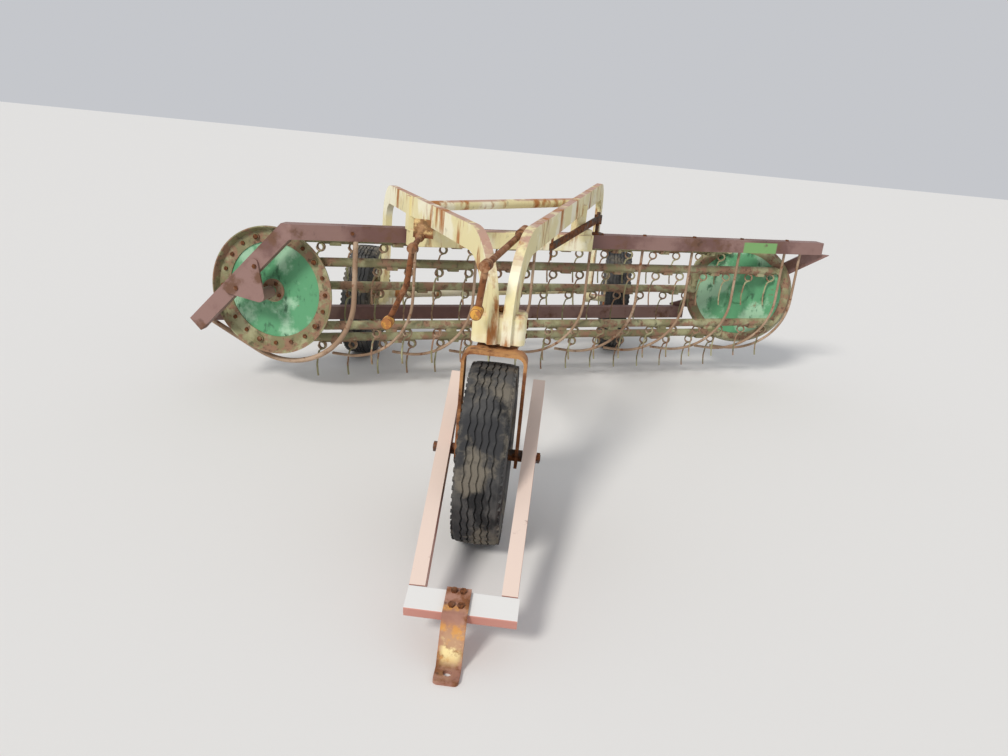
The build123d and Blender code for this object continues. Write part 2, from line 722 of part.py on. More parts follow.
# Rear arm with its bearing
rear_run = rear_arm_depth / sin(bar_slant)
rear_shift = rear_run * cos(bar_slant)
rear_top = (beam_side + rear_shift, beam_underside)
rear_foot = (lower_side + rear_shift, lower_rise + beam_size / 2)
with BuildPart() as basket_arm_rear:
    with BuildSketch(disc_plane(reel_length, rear_arm_depth)):
        Polygon(*ribbon([(rear_top[0] * 1.2, rear_top[1] * 1.2), (0, 0)], 80), align=None)
        Polygon(*ribbon([(0, 0), (rear_foot[0] * 1.2, rear_foot[1] * 1.2)], 80), align=None)
        Circle(45)
        with Locations((rear_top[0], rear_top[1] + 60)):
            Rectangle(500, 120, mode=Mode.SUBTRACT)
        with Locations((rear_foot[0], rear_foot[1] - 60)):
            Rectangle(500, 120, mode=Mode.SUBTRACT)
    extrude(amount=rear_arm_thickness / 2, both=True)
    with BuildSketch(disc_plane(reel_length, rear_arm_depth)):
        Circle(45)
    extrude(amount=30, both=True)
    with BuildSketch(disc_plane(reel_length, rear_arm_depth)):
        Circle(reel_shaft / 2 + pin_clearance)
    extrude(amount=40, both=True, mode=Mode.SUBTRACT)
save("basket_arm_rear", basket_arm_rear.part)

# Hanger rods
for name, foot in hanger_points:
    foot_plane = Plane(origin=(foot.X, foot.Y, beam_top), x_dir=along, z_dir=up)
    with BuildPart() as hanger:
        with BuildSketch(foot_plane):
            Rectangle(70, 50)
        extrude(amount=hanger_foot)
        with BuildSketch(foot_plane):
            Circle(hanger_diameter / 2)
        extrude(amount=lifted_top + 66 - beam_top)
    save("hanger_" + name, hanger.part)

# Stripper rods and the end hoop
rod_runs = [first_rod_run + tine_pitch * (index + 1) for index in range(tine_pairs)]
rod_runs.append(reel_length - 25.0)
with BuildPart() as stripper_rods:
    for run in rod_runs:
        plane = disc_plane(run)
        with BuildLine(plane):
            Line((beam_side, beam_underside), (beam_side, 0))
            CenterArc((rod_shift, 0), rod_radius, 0, -90)
            Line((rod_shift, -rod_radius), (rod_shift - 80, -rod_radius))
        start_plane = Plane(
            origin=reel_point(run, beam_side, beam_underside), x_dir=across, z_dir=(0, 0, -1)
        )
        with BuildSketch(start_plane):
            Circle(rod_diameter / 2)
        sweep()
save("stripper_rods", stripper_rods.part)

hoop_run = 40.0
hoop_shift = 15.0
hoop_radius = disc_radius + 49.0
hoop_side = hoop_radius + hoop_shift
hoop_turn = 115.0
with BuildPart() as end_hoop:
    with BuildLine(disc_plane(hoop_run)):
        Line((hoop_side, beam_underside), (hoop_side, 0))
        hoop_arc = CenterArc((hoop_shift, 0), hoop_radius, 0, -hoop_turn)
        Line(hoop_arc @ 1, hoop_arc @ 1 + (hoop_arc % 1) * 330)
    hoop_start = reel_point(hoop_run, hoop_side, beam_underside)
    with BuildSketch(Plane(origin=hoop_start, x_dir=across, z_dir=(0, 0, -1))):
        Circle(hoop_diameter / 2)
    sweep()
    add(lower_beam.part, mode=Mode.SUBTRACT)
save("end_hoop", end_hoop.part.solids().sort_by(SortBy.VOLUME)[-1])

# Reel discs: plate with shaft, bolted ring with flared lip and pivot bosses
pivot_angles = [bar_phase + 360.0 / bar_count * index for index in range(bar_count)]
disc_columns = ("name", "run", "out", "shaft_end")
disc_rows = (
    ("front", 0.0, -1, 138.0),
    ("rear", reel_length, 1, rear_arm_depth + 38.0),
)
half_plate = plate_thickness / 2
for row in disc_rows:
    disc = dict(zip(disc_columns, row))
    out = disc["out"]
    centre = reel_point(disc["run"], 0, 0)
    disc_axis = Axis(centre, spin)
    with BuildPart() as reel_plate:
        with BuildSketch(Plane(origin=centre, x_dir=across, z_dir=up)):
            Polygon(
                (0, -out * 14),
                (60, -out * 14),
                (75, -out * half_plate),
                (plate_radius, -out * half_plate),
                (plate_radius, out * half_plate),
                (75, out * half_plate),
                (60, out * 14),
                (reel_shaft / 2, out * 14),
                (reel_shaft / 2, out * (disc["shaft_end"] - 3)),
                (reel_shaft / 2 - 3, out * disc["shaft_end"]),
                (0, out * disc["shaft_end"]),
                align=None,
            )
        revolve(axis=disc_axis)
    save("reel_plate_" + disc["name"], reel_plate.part)
    with BuildPart() as reel_ring:
        with BuildSketch(Plane(origin=centre, x_dir=across, z_dir=up)):
            Polygon(
                (ring_inner_radius, out * half_plate),
                (ring_flat_radius + 2, out * half_plate),
                (disc_radius, out * lip_depth),
                (disc_radius, out * (lip_depth + 8)),
                (disc_radius - 6, out * (lip_depth + 8)),
                (ring_flat_radius - 2, out * (half_plate + 6)),
                (ring_inner_radius, out * (half_plate + 6)),
                align=None,
            )
        revolve(axis=disc_axis)
        with BuildSketch(disc_plane(disc["run"], out * (half_plate + 6))):
            with PolarLocations(pivot_radius, bar_count, start_angle=bar_phase):
                Circle(19)
        extrude(amount=out * (half_plate + 6 + 16))
        with BuildSketch(disc_plane(disc["run"], out * 30)):
            with PolarLocations(pivot_radius, bar_count, start_angle=bar_phase):
                Circle(pivot_pin / 2 + pin_clearance)
        extrude(amount=out * 60, mode=Mode.SUBTRACT)
    save("reel_ring_" + disc["name"], reel_ring.part)

# Tine bars: pipe, end pins, clamps and double spring tines
prong = [
    (0, -26),
    (18, -30),
    (26, -44),
    (22, -60),
    (6, -70),
    (-8, -80),
    (-15, -105),
    (-20, -165),
    (-16, 24 - tine_drop),
    (-12, -tine_drop),
]
bar_cut = 22.0
with BuildPart() as tine_bar:
    with BuildSketch(disc_plane(bar_cut / sin(bar_slant))):
        Ellipse(bar_diameter / 2 / sin(bar_slant), bar_diameter / 2)
    extrude(amount=reel_length - 2 * bar_cut / sin(bar_slant), dir=along)
    for run, out in ((0.0, -1), (reel_length, 1)):
        for near, far, radius in ((34, -21, pivot_pin / 2), (40, bar_cut, 19.0), (-9.5, -19, 17.0)):
            with BuildSketch(disc_plane(run, -out * near)):
                Circle(radius)
            extrude(amount=-out * (near - far))
    for index in range(tine_pairs):
        run = first_rod_run + tine_pitch * (index + 1)
        with BuildSketch(beam_plane(run - tine_pitch / 4 - 4, 0, -26)):
            Rectangle(8, 8)
        extrude(amount=tine_pitch / 2 + 8)
        with BuildSketch(beam_plane(run - 30, 0, -26)):
            Rectangle(30, 24)
        extrude(amount=60)
        for shift in (-tine_pitch / 4, tine_pitch / 4):
            with BuildSketch(disc_plane(run + shift)):
                Polygon(*ribbon(prong, tine_wire), align=None)
            extrude(amount=tine_wire / 2, both=True)
for index, angle in enumerate(pivot_angles):
    turn = radians(angle)
    offset_to_pivot = across * (pivot_radius * cos(turn)) + up * (pivot_radius * sin(turn))
    save("tine_bar_" + str(index + 1), tine_bar.part.moved(Location(offset_to_pivot)))
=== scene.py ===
"""Dressed model of a side delivery rake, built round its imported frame."""

from __future__ import annotations

import json
import logging
import math
from dataclasses import dataclass
from enum import Enum

import bpy
from mathutils import Matrix, Vector

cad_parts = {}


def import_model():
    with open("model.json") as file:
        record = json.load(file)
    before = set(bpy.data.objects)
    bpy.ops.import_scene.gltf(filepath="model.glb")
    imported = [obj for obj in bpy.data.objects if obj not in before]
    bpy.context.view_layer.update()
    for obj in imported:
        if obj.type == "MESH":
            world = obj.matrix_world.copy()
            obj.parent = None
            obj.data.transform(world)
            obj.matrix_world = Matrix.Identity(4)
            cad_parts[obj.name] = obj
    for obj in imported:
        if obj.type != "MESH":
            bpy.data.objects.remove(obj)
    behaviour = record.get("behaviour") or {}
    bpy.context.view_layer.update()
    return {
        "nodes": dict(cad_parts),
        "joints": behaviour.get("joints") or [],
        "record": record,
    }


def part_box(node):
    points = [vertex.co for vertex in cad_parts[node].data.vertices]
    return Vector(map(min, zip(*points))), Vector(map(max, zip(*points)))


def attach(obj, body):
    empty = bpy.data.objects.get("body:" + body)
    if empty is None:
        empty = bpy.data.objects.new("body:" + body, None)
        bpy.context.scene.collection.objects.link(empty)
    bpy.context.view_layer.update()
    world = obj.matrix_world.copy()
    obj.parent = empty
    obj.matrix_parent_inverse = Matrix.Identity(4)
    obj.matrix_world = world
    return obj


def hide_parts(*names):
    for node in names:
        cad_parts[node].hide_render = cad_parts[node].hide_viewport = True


LOG = logging.getLogger("rake")

Colour = tuple[float, float, float]
Direction = tuple[float, float, float]
Profile = tuple[tuple[float, float], ...]

X_AXIS = (1.0, 0.0, 0.0)
Y_AXIS = (0.0, 1.0, 0.0)
Z_AXIS = (0.0, 0.0, 1.0)
BEAM_RUN = (math.cos(math.radians(25)), math.sin(math.radians(25)), 0.0)
BEAM_SIDE = (-BEAM_RUN[1], BEAM_RUN[0], 0.0)


class Wear(Enum):
    """How the rust lies on a finish; the value scales its noise along Z."""

    PATCHES = 1.0
    RUNS = 0.22


class Layer(Enum):
    """Layers of a finish; the value shifts the noise, so that no two layers match."""

    FADE = 3.7
    RUST = 11.3
    DEEP_RUST = 23.9
    DIRT = 41.1
    PATCH = 61.0
    # Shift of the upward-face mask, which paints highlights on sunlit top faces of the red finishes and
    # brown dust on the cream one.
    TOP = 77.0


@dataclass(frozen=True)
class Band:
    """The points between two planes across a direction, in metres from the origin."""

    direction: Direction
    low: float
    high: float
    soft: float


@dataclass(frozen=True)
class Patch:
    """A worn area of another colour, where all of its bands overlap."""

    colour: Colour
    bands: tuple[Band, ...]
    wear: float


@dataclass(frozen=True)
class Finish:
    """Colours and wear of one surface.

    The amounts are shares of the surface from 0 to 1, and a higher scale makes smaller patches.
    """

    name: str
    base: Colour
    faded: Colour
    rust: Colour
    rust_amount: float
    wear: Wear = Wear.PATCHES
    scale: float = 9.0
    dirt: float = 0.35
    roughness: float = 0.55
    metallic: float = 0.0
    bump: float = 0.35
    # top: colour of the faces that look up; on the red finishes a painted highlight of sunlit top faces, on
    # the cream finish a darker brown dust.
    top: Colour | None = None
    top_highlight_and_dust_share: float = 0.5
    patches: tuple[Patch, ...] = ()


RUST = (0.21, 0.075, 0.026)
ORANGE_RUST = (0.42, 0.17, 0.05)
TAN_RUST = (0.30, 0.175, 0.11)
STRAP_PATCHES = (
    Patch((0.60, 0.27, 0.065), (Band(Z_AXIS, 0.030, 0.132, 0.014),), 0.46),
    Patch(
        (0.88, 0.72, 0.36), (Band(Z_AXIS, 0.030, 0.110, 0.026), Band(X_AXIS, -0.028, 0.030, 0.012)), 0.44
    ),
    Patch(
        (0.62, 0.30, 0.08), (Band(Y_AXIS, 0.092, 0.110, 0.008), Band(Z_AXIS, 0.150, 0.200, 0.006)), 0.40
    ),
)
BEAM_OVERSPRAY = Patch(
    (0.20, 0.40, 0.14),
    (
        Band(BEAM_RUN, 2.504, 2.750, 0.005),
        Band(Z_AXIS, 0.860, 0.936, 0.003),
        Band(BEAM_SIDE, 2.24, 2.26, 0.004),
    ),
    0.24,
)
LUG_PAINT = Patch(
    (0.76, 0.55, 0.25), (Band(Y_AXIS, 1.640, 1.800, 0.010), Band(Z_AXIS, 1.005, 1.100, 0.008)), 0.45
)
FINISH_LIST = (
    Finish(
        "cream_paint", base=(0.78, 0.69, 0.38), faded=(0.88, 0.83, 0.62), rust=ORANGE_RUST,
        rust_amount=0.33, wear=Wear.RUNS, scale=10.0, dirt=0.26, top=(0.50, 0.30, 0.22), top_highlight_and_dust_share=0.42,
    ),
    Finish(
        "dark_steel", base=(0.075, 0.055, 0.045), faded=(0.15, 0.11, 0.09), rust=RUST,
        rust_amount=0.45, scale=16.0, dirt=0.3, roughness=0.6, metallic=0.4,
    ),
    Finish(
        "rusty_steel", base=(0.34, 0.145, 0.062), faded=(0.50, 0.25, 0.09), rust=RUST,
        rust_amount=0.42, dirt=0.3, roughness=0.8,
    ),
    Finish(
        "strap_rust", base=(0.33, 0.155, 0.11), faded=(0.40, 0.21, 0.15), rust=RUST,
        rust_amount=0.34, scale=11.0, dirt=0.3, roughness=0.8, patches=STRAP_PATCHES,
    ),
    Finish(
        "faded_red_paint", base=(0.42, 0.17, 0.13), faded=(0.60, 0.34, 0.27), rust=RUST,
        # Its pale top colour is a painted highlight on the sunlit upper faces.
        rust_amount=0.20, wear=Wear.RUNS, dirt=0.22, top=(0.80, 0.64, 0.55), top_highlight_and_dust_share=1.0,
    ),
    Finish(
        "grey_red_paint", base=(0.56, 0.25, 0.20), faded=(0.66, 0.38, 0.32), rust=(0.50, 0.17, 0.11),
        # Its near-white top colour, laid on nearly all upper faces, is a painted highlight of sunlit top
        # faces.
        rust_amount=0.09, scale=10.0, dirt=0.16, top=(0.74, 0.73, 0.71), top_highlight_and_dust_share=1.6,
    ),
    Finish(
        "rim_paint", base=(0.55, 0.48, 0.29), faded=(0.66, 0.60, 0.42), rust=RUST, rust_amount=0.40
    ),
    Finish(
        "maroon_paint", base=(0.165, 0.082, 0.070), faded=(0.28, 0.165, 0.142), rust=(0.16, 0.08, 0.05),
        rust_amount=0.34, scale=5.0, dirt=0.24, patches=(BEAM_OVERSPRAY,),
    ),
    Finish(
        "rod_steel", base=(0.34, 0.22, 0.14), faded=(0.46, 0.33, 0.23), rust=RUST,
        rust_amount=0.30, scale=20.0, dirt=0.25, roughness=0.7, metallic=0.1,
    ),
    Finish(
        "green_paint", base=(0.105, 0.345, 0.165), faded=(0.36, 0.60, 0.40), rust=RUST,
        rust_amount=0.22, scale=13.0, dirt=0.30,
    ),
    Finish(
        "olive_paint", base=(0.225, 0.205, 0.10), faded=(0.38, 0.37, 0.21), rust=TAN_RUST,
        rust_amount=0.40, scale=14.0, dirt=0.30,
    ),
    Finish(
        "tyre", base=(0.028, 0.028, 0.030), faded=(0.085, 0.082, 0.078), rust=(0.16, 0.14, 0.11),
        rust_amount=0.35, scale=6.0, roughness=0.85,
    ),
    Finish(
        "bolt_steel", base=(0.17, 0.075, 0.04), faded=(0.26, 0.14, 0.08), rust=RUST,
        rust_amount=0.5, scale=30.0, dirt=0.2, roughness=0.7, metallic=0.3,
    ),
    Finish(
        "crank_rust", base=(0.27, 0.12, 0.055), faded=(0.38, 0.20, 0.10), rust=RUST,
        rust_amount=0.45, scale=14.0, dirt=0.3, roughness=0.75, patches=(LUG_PAINT,),
    ),
    Finish(
        "grip_paint", base=(0.72, 0.36, 0.06), faded=(0.82, 0.52, 0.16), rust=ORANGE_RUST,
        rust_amount=0.36, scale=22.0,
    ),
)
FINISHES = {finish.name: finish for finish in FINISH_LIST}
OWN_FINISH = {"crank_left": "crank_rust", "crank_right": "crank_rust", "hitch_strap": "strap_rust"}


def add_node(
    tree: bpy.types.NodeTree, kind: str, inputs: dict | None = None, **settings: str
) -> bpy.types.Node:
    """Add a node to a tree, set it and feed its inputs.

    Args:
        tree: Tree of a material, of a shader group or of Geometry Nodes.
        kind: Type of the node.
        inputs: Socket to link, or value to set, for each input by its name or number.
        **settings: Options of the node, such as its operation.

    Returns:
        The new node.
    """
    node = tree.nodes.new(kind)
    for name, option in settings.items():
        setattr(node, name, option)
    for key, source in (inputs or {}).items():
        if isinstance(source, bpy.types.NodeSocket):
            tree.links.new(source, node.inputs[key])
        else:
            node.inputs[key].default_value = source
    return node


def smooth_step(
    tree: bpy.types.NodeTree,
    value: bpy.types.NodeSocket,
    start: float | bpy.types.NodeSocket,
    end: float | bpy.types.NodeSocket,
) -> bpy.types.NodeSocket:
    """Give a mask that grows smoothly from 0 where the value is at start to 1 at end."""
    ramp = add_node(
        tree, "ShaderNodeMapRange", {"Value": value, "From Min": start, "From Max": end},
        interpolation_type="SMOOTHSTEP",
    )
    return ramp.outputs["Result"]


def product(
    tree: bpy.types.NodeTree, first: bpy.types.NodeSocket, second: bpy.types.NodeSocket
) -> bpy.types.NodeSocket:
    """Multiply two values in a material's tree."""
    return add_node(tree, "ShaderNodeMath", {0: first, 1: second}, operation="MULTIPLY").outputs[0]


def weather_group() -> bpy.types.NodeTree:
    """Build the shared wear effect.

    Returns:
        A shader node group that puts out a patchy mask between 0 and 1 and a fine height.
    """
    mask_start = 0.86
    mask_width = 0.12
    tree = bpy.data.node_groups.new("weathering", "ShaderNodeTree")
    for label in ("Scale", "Amount", "Stretch", "Shift"):
        tree.interface.new_socket(label, in_out="INPUT", socket_type="NodeSocketFloat")
    for label in ("Mask", "Height"):
        tree.interface.new_socket(label, in_out="OUTPUT", socket_type="NodeSocketFloat")
    given = add_node(tree, "NodeGroupInput").outputs
    place = add_node(tree, "ShaderNodeTexCoord").outputs["Object"]
    stretch = add_node(tree, "ShaderNodeCombineXYZ", {0: 1.0, 1: 1.0, 2: given["Stretch"]})
    squeezed = add_node(
        tree, "ShaderNodeVectorMath", {0: place, 1: stretch.outputs[0]}, operation="MULTIPLY"
    )
    moved = add_node(
        tree, "ShaderNodeVectorMath", {0: squeezed.outputs[0], 1: given["Shift"]}, operation="ADD"
    )
    broad = add_node(
        tree, "ShaderNodeTexNoise",
        {"Vector": moved.outputs[0], "Scale": given["Scale"], "Detail": 7.0, "Roughness": 0.62},
    )
    low = add_node(tree, "ShaderNodeMath", {0: mask_start, 1: given["Amount"]}, operation="SUBTRACT")
    high = add_node(tree, "ShaderNodeMath", {0: low.outputs[0], 1: mask_width}, operation="ADD")
    mask = smooth_step(tree, broad.outputs["Fac"], low.outputs[0], high.outputs[0])
    fine = add_node(tree, "ShaderNodeTexNoise", {"Vector": place, "Scale": 160.0, "Detail": 3.0})
    height = product(tree, fine.outputs["Fac"], mask)
    add_node(tree, "NodeGroupOutput", {"Mask": mask, "Height": height})
    return tree


class Palette:
    """Makes each finish once and hands it out by name."""

    fade_scale = 0.35
    fade_amount = 0.40
    deep_scale = 3.1
    deep_amount = 0.85
    dirt_scale = 1.7
    dirt_stretch = 0.5
    dull_share = 0.45
    brown_share = 0.5
    rust_roughness = 0.92
    bump_distance = 0.002
    patch_scale = 18.0
    patch_shift = 7.0
    worn_through = 0.85
    # Noise, tilt and growth of the upward-face mask: a painted highlight on the red finishes, darker brown
    # dust on the cream one.
    top_scale = 7.0
    top_tilt = (0.55, 0.85)
    top_amount = 0.30
    top_growth = 0.45

    def __init__(self) -> None:
        """Start with the shared group and no materials."""
        self.group = weather_group()
        self.made: dict[str, bpy.types.Material] = {}

    def weather(
        self, tree: bpy.types.NodeTree, scale: float, amount: float, shift: float, stretch: float = 1.0
    ) -> bpy.types.bpy_prop_collection:
        """Place the shared group in a material.

        Args:
            tree: The material's node tree.
            scale: Size of the noise.
            amount: Share of the surface that the mask covers.
            shift: Offset that makes this mask differ from the others.
            stretch: Scale along Z; below one it draws the patches out into runs.

        Returns:
            The outputs of the group's node.
        """
        node = tree.nodes.new("ShaderNodeGroup")
        node.node_tree = self.group
        for label, value in (("Scale", scale), ("Amount", amount), ("Stretch", stretch), ("Shift", shift)):
            node.inputs[label].default_value = value
        return node.outputs

    @staticmethod
    def mix(
        tree: bpy.types.NodeTree,
        factor: bpy.types.NodeSocket,
        under: Colour | bpy.types.NodeSocket,
        over: Colour | bpy.types.NodeSocket,
    ) -> bpy.types.NodeSocket:
        """Mix two colours by a mask.

        Args:
            tree: The material's node tree.
            factor: Mask socket.
            under: Colour, or socket, where the mask is 0.
            over: Colour, or socket, where the mask is 1.

        Returns:
            The mixed colour's socket.
        """
        first, second = ((*side, 1.0) if isinstance(side, tuple) else side for side in (under, over))
        inputs = {"Factor": factor, 6: first, 7: second}
        return add_node(tree, "ShaderNodeMix", inputs, data_type="RGBA").outputs[2]

    def get(self, name: str) -> bpy.types.Material:
        """Give the material of a finish, and make it on the first call.

        Args:
            name: Key in FINISHES.

        Returns:
            The material.
        """
        if name in self.made:
            return self.made[name]
        finish = FINISHES[name]
        material = bpy.data.materials.new(finish.name + "_worn")
        material.use_nodes = True
        tree = material.node_tree
        shader = tree.nodes["Principled BSDF"]
        size, amount = finish.scale, finish.rust_amount
        fade = self.weather(tree, size * self.fade_scale, self.fade_amount, Layer.FADE.value)
        rust = self.weather(tree, size, amount, Layer.RUST.value, finish.wear.value)
        deep = self.weather(tree, size * self.deep_scale, amount * self.deep_amount, Layer.DEEP_RUST.value)
        dirt = self.weather(tree, size * self.dirt_scale, finish.dirt, Layer.DIRT.value, self.dirt_stretch)
        paint = self.mix(tree, fade["Mask"], finish.base, finish.faded)
        # Upward faces take the top colour: a painted highlight of sunlit top faces on the red finishes,
        # darker brown dust on the cream one.
        if finish.top is not None:
            paint = self.mix(tree, self.top_highlight_and_dust_mask(tree, finish.top_highlight_and_dust_share), paint, finish.top)
        dull = tuple(self.dull_share * channel for channel in finish.base)
        dirty = self.mix(tree, dirt["Mask"], paint, dull)
        brown = tuple(self.brown_share * channel for channel in finish.rust)
        rusty = self.mix(tree, deep["Mask"], finish.rust, brown)
        colour = self.mix(tree, rust["Mask"], dirty, rusty)
        for number, patch in enumerate(finish.patches):
            colour = self.lay_patch(tree, colour, patch, Layer.PATCH.value + self.patch_shift * number)
        rough = add_node(
            tree, "ShaderNodeMapRange",
            {"Value": rust["Mask"], "To Min": finish.roughness, "To Max": self.rust_roughness},
        )
        bump = add_node(
            tree, "ShaderNodeBump",
            {"Strength": finish.bump, "Distance": self.bump_distance, "Height": rust["Height"]},
        )
        shader.inputs["Metallic"].default_value = finish.metallic
        tree.links.new(colour, shader.inputs["Base Color"])
        tree.links.new(rough.outputs["Result"], shader.inputs["Roughness"])
        tree.links.new(bump.outputs["Normal"], shader.inputs["Normal"])
        self.made[name] = material
        return material

    def top_highlight_and_dust_mask(self, tree: bpy.types.NodeTree, share: float) -> bpy.types.NodeSocket:
        """Mask the faces that look up, which take a finish's top colour: on the red finishes a painted
        highlight of sunlit top faces, on the cream finish a darker brown dust.

        Args:
            tree: The material's node tree.
            share: Part of those faces that is changed; from 1 up nearly all of it.

        Returns:
            Socket of the mask.
        """
        facing = add_node(tree, "ShaderNodeNewGeometry").outputs["True Normal"]
        parts = add_node(tree, "ShaderNodeSeparateXYZ", {0: facing})
        upward = smooth_step(tree, parts.outputs[2], *self.top_tilt)
        amount = self.top_amount + self.top_growth * share
        broken = self.weather(tree, self.top_scale, amount, Layer.TOP.value)
        return product(tree, upward, broken["Mask"])

    @staticmethod
    def band_mask(tree: bpy.types.NodeTree, band: Band) -> bpy.types.NodeSocket:
        """Mask the points between the two planes of a band.

        Args:
            tree: The material's node tree.
            band: The planes and the softness of their edges.

        Returns:
            Socket of the mask.
        """
        place = add_node(tree, "ShaderNodeTexCoord").outputs["Object"]
        inputs = {0: place, 1: band.direction}
        run = add_node(tree, "ShaderNodeVectorMath", inputs, operation="DOT_PRODUCT").outputs["Value"]
        rise = smooth_step(tree, run, band.low - band.soft, band.low + band.soft)
        fall = smooth_step(tree, run, band.high + band.soft, band.high - band.soft)
        return product(tree, rise, fall)

    def lay_patch(
        self, tree: bpy.types.NodeTree, colour: bpy.types.NodeSocket, patch: Patch, shift: float
    ) -> bpy.types.NodeSocket:
        """Lay a patch of another colour, and wear it through in places.

        Args:
            tree: The material's node tree.
            colour: Colour socket of the paint below.
            patch: Place, colour and wear.
            shift: Offset that makes this wear differ from the others.

        Returns:
            Socket of the colour with the patch.
        """
        worn = self.weather(tree, self.patch_scale, patch.wear, shift)
        inputs = {0: worn["Mask"], 1: -self.worn_through, 2: 1.0}
        mask = add_node(tree, "ShaderNodeMath", inputs, operation="MULTIPLY_ADD").outputs[0]
        for band in patch.bands:
            mask = product(tree, mask, self.band_mask(tree, band))
        return self.mix(tree, mask, colour, patch.colour)


def to_object(name: str, mesh: bpy.types.Mesh, material: bpy.types.Material) -> bpy.types.Object:
    """Put a mesh in the scene with one material.

    Args:
        name: Name of the piece.
        mesh: Its mesh, already in place.
        material: Its finish.

    Returns:
        The new object, at the origin.
    """
    mesh.materials.clear()
    mesh.materials.append(material)
    piece = bpy.data.objects.new(name, mesh)
    bpy.context.scene.collection.objects.link(piece)
    return piece


def joint_place(joints: dict[str, dict], name: str) -> tuple[Vector, Vector]:
    """Give a joint's point and axis.

    Args:
        joints: The frame's joints by name.
        name: Name of the joint.

    Returns:
        The point in metres and the unit axis.
    """
    joint = joints[name]
    return Vector(joint["pos_m"]), Vector(joint["axis"]).normalized()


def basis(centre: Vector, axis: Vector) -> Matrix:
    """Give the matrix that carries the Z axis at the origin onto an axis.

    Args:
        centre: Point on the axis.
        axis: Direction that local Z takes.

    Returns:
        A 4 by 4 matrix without scale.
    """
    turn = axis.normalized().to_track_quat("Z", "Y").to_matrix().to_4x4()
    return Matrix.Translation(centre) @ turn


def turned(
    name: str, centre: Vector, axis: Vector, profile: Profile, material: bpy.types.Material,
    steps: int = 40,
) -> bpy.types.Object:
    """Turn a profile round an axis into a piece with flat closed ends.

    Args:
        name: Name of the piece.
        centre: Point on the axis where the height is zero.
        axis: Direction of growing height.
        profile: Radius and height of each corner, from the lower end to the upper one.
        material: Its finish.
        steps: Corners round the circle.

    Returns:
        The piece, at the origin, with its place in its mesh.
    """
    angles = [2 * math.pi * step / steps for step in range(steps)]
    points = [
        (radius * math.cos(angle), radius * math.sin(angle), height)
        for radius, height in profile
        for angle in angles
    ]
    faces = [
        (row * steps + step, row * steps + (step + 1) % steps,
         (row + 1) * steps + (step + 1) % steps, (row + 1) * steps + step)
        for row in range(len(profile) - 1)
        for step in range(steps)
    ]
    faces.append(tuple(range(steps))[::-1])
    faces.append(tuple((len(profile) - 1) * steps + step for step in range(steps)))
    mesh = bpy.data.meshes.new(name)
    mesh.from_pydata(points, [], faces)
    mesh.transform(basis(centre, axis))
    mesh.update()
    return to_object(name, mesh, material)


@dataclass(frozen=True)
class Head:
    """Sizes of a bolt head, a nut or a tread block, in metres.

    The stretch scales it along the circle's radius, its tangent and its axis.
    """

    radius: float
    height: float
    sides: int = 6
    stretch: tuple[float, float, float] = (1.0, 1.0, 1.0)


RING_HEAD = Head(0.0115, 0.009)
HUB_HEAD = Head(0.0105, 0.009)
WHEEL_NUT = Head(0.011, 0.014)
HITCH_HEAD = Head(0.0105, 0.014)
CHEEK_HEAD = Head(0.010, 0.010)
ROD_FRONT_HEAD = Head(0.010, 0.014)
ROD_TOP_HEAD = Head(0.011, 0.014)
PLATE_HEAD = Head(0.0125, 0.012)
SHOULDER_BLOCK = Head(0.0105, 0.018, 4, (0.9, 0.9, 1.0))


class Repeater:
    """Geometry Nodes tree that repeats a small shape, with a named input for every size."""

    def __init__(self, label: str, inputs: dict[str, str]) -> None:
        """Start the tree with its sockets.

        Args:
            label: Name of the tree.
            inputs: Kind of each input by its name; the geometry and the finish are added to them.
        """
        self.label = label
        self.tree = bpy.data.node_groups.new(label, "GeometryNodeTree")
        self.sockets: dict[str, str] = {}
        face = self.tree.interface
        face.new_socket("Geometry", in_out="INPUT", socket_type="NodeSocketGeometry")
        for name, kind in {**inputs, "Finish": "Material"}.items():
            socket = face.new_socket(name, in_out="INPUT", socket_type="NodeSocket" + kind)
            self.sockets[name] = socket.identifier
        face.new_socket("Geometry", in_out="OUTPUT", socket_type="NodeSocketGeometry")
        self.given = self.add("NodeGroupInput").outputs

    def add(self, kind: str, inputs: dict | None = None, **settings: str) -> bpy.types.Node:
        """Add a node to this tree, as add_node does."""
        return add_node(self.tree, kind, inputs, **settings)

    def close(self, instances: bpy.types.NodeSocket) -> None:
        """End the tree in real geometry with the finish on it.

        Args:
            instances: Socket of the repeated shapes.
        """
        real = self.add("GeometryNodeRealizeInstances", {"Geometry": instances})
        inputs = {"Geometry": real.outputs["Geometry"], "Material": self.given["Finish"]}
        dressed = self.add("GeometryNodeSetMaterial", inputs)
        self.add("NodeGroupOutput", {"Geometry": dressed.outputs["Geometry"]})

    def bake(
        self, name: str, values: dict, finish: bpy.types.Material, where: Matrix | None = None
    ) -> bpy.types.Object:
        """Run the tree once and keep its result as a plain mesh piece.

        Args:
            name: Name of the piece.
            values: Value of each input but the finish.
            finish: Material of the piece.
            where: Matrix from the tree's own place to the piece's, if they differ.

        Returns:
            The piece, at the origin, with its place in its mesh.
        """
        seed = bpy.data.objects.new(name + "_seed", bpy.data.meshes.new(name + "_seed"))
        bpy.context.scene.collection.objects.link(seed)
        modifier = seed.modifiers.new(self.label, "NODES")
        modifier.node_group = self.tree
        for label, value in {**values, "Finish": finish}.items():
            modifier[self.sockets[label]] = value
        depsgraph = bpy.context.evaluated_depsgraph_get()
        mesh = bpy.data.meshes.new_from_object(seed.evaluated_get(depsgraph))
        seed.modifiers.remove(modifier)
        bpy.data.objects.remove(seed)
        mesh.name = name
        if where is not None:
            mesh.transform(where)
        return to_object(name, mesh, finish)


